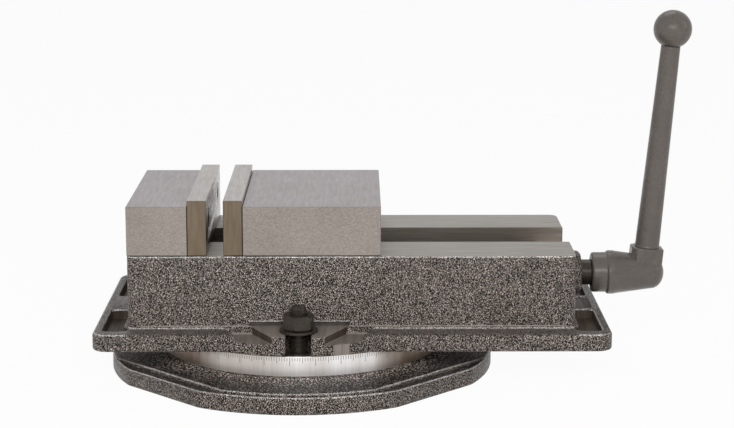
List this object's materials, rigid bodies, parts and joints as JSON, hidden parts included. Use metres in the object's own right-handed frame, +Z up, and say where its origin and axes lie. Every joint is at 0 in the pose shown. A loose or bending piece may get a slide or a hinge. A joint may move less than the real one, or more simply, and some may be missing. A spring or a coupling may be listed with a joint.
{
  "type": "machine vise",
  "caption": "Milling-machine vise on a graduated swivel base, with a fixed and a sliding jaw, ground jaw plates, a bearing-mounted screw and a crank handle.",
  "frame": {"origin": "on the swivel's axis, at the underside of the base", "axes": "+X along the screw from the fixed jaw to the crank handle, +Z up, so the near side is -Y"},
  "size_m": [0.4517, 0.296, 0.2751],
  "materials": {
    "hammered_paint": "cast iron in dark grey-brown hammered paint",
    "handle_paint": "satin grey-brown paint",
    "ground_steel": "ground",
    "plate_steel": "ground and hardened, with brownish ends",
    "black_steel": "black oxide",
    "bright_steel": "machined",
    "bronze": "machined bronze"
  },
  "bodies": {
    "base": {"base_casting": "hammered_paint", "swivel_pin": "bright_steel"},
    "bed": {"bed_casting": "hammered_paint", "fixed_jaw": "ground_steel", "fixed_jaw_key": "bright_steel", "screw_bush": "bronze", "fixed_jaw_plate": "plate_steel", "bearing_washer_outer": "bright_steel", "t_bolt_near": "black_steel", "t_bolt_far": "black_steel", "clamp_washer_near": "black_steel", "clamp_washer_far": "black_steel", "fixed_jaw_bolt_near": "black_steel", "fixed_jaw_bolt_far": "black_steel", "fixed_plate_screw_near": "black_steel", "fixed_plate_screw_far": "black_steel"},
    "near_nut": {"lock_nut_near": "black_steel"},
    "far_nut": {"lock_nut_far": "black_steel"},
    "jaw": {"movable_jaw": "ground_steel", "jaw_nut": "bright_steel", "half_ball": "bright_steel", "jaw_set_screw": "black_steel", "movable_jaw_plate": "plate_steel", "movable_plate_screw_near": "black_steel", "movable_plate_screw_far": "black_steel"},
    "screw": {"lead_screw": "black_steel", "bearing_washer_inner": "bright_steel", "retaining_ring": "bright_steel"},
    "cage": {"bearing_cage": "bronze", "bearing_ball_1": "bright_steel", "bearing_ball_2": "bright_steel", "bearing_ball_3": "bright_steel", "bearing_ball_4": "bright_steel", "bearing_ball_5": "bright_steel", "bearing_ball_6": "bright_steel", "bearing_ball_7": "bright_steel", "bearing_ball_8": "bright_steel"},
    "handle": {"handle_hub": "handle_paint", "handle_rod": "handle_paint", "handle_ball": "handle_paint"}
  },
  "joints": [
    {"name": "bed_swivel", "type": "hinge", "parent": "base", "child": "bed", "pos_m": [0, 0, 0.0327], "axis": [0, 0, 1], "continuous": true},
    {"name": "near_nut_turn", "type": "hinge", "parent": "bed", "child": "near_nut", "pos_m": [0, -0.0945, 0.0503], "axis": [0, 0, 1], "range_deg": [0, 180]},
    {"name": "far_nut_turn", "type": "hinge", "parent": "bed", "child": "far_nut", "pos_m": [0, 0.0945, 0.0503], "axis": [0, 0, 1], "range_deg": [0, 180]},
    {"name": "screw_turn", "type": "hinge", "parent": "bed", "child": "screw", "pos_m": [0.1772, 0, 0.0702], "axis": [1, 0, 0], "range_deg": [-885, 10079]},
    {"name": "jaw_slide", "type": "slide", "parent": "bed", "child": "jaw", "axis": [1, 0, 0], "range_m": [-0.0123, 0.14]},
    {"name": "cage_turn", "type": "hinge", "parent": "bed", "child": "cage", "pos_m": [0.1816, 0, 0.0702], "axis": [1, 0, 0], "range_deg": [-443, 5040]},
    {"name": "handle_pull", "type": "slide", "parent": "screw", "child": "handle", "axis": [1, 0, 0], "range_m": [0, 0.045]}
  ],
  "couplings": [
    {"joint": "jaw_slide", "follows": "screw_turn", "m_per_rad": 0.00079577},
    {"joint": "cage_turn", "follows": "screw_turn", "ratio": 0.5}
  ]
}
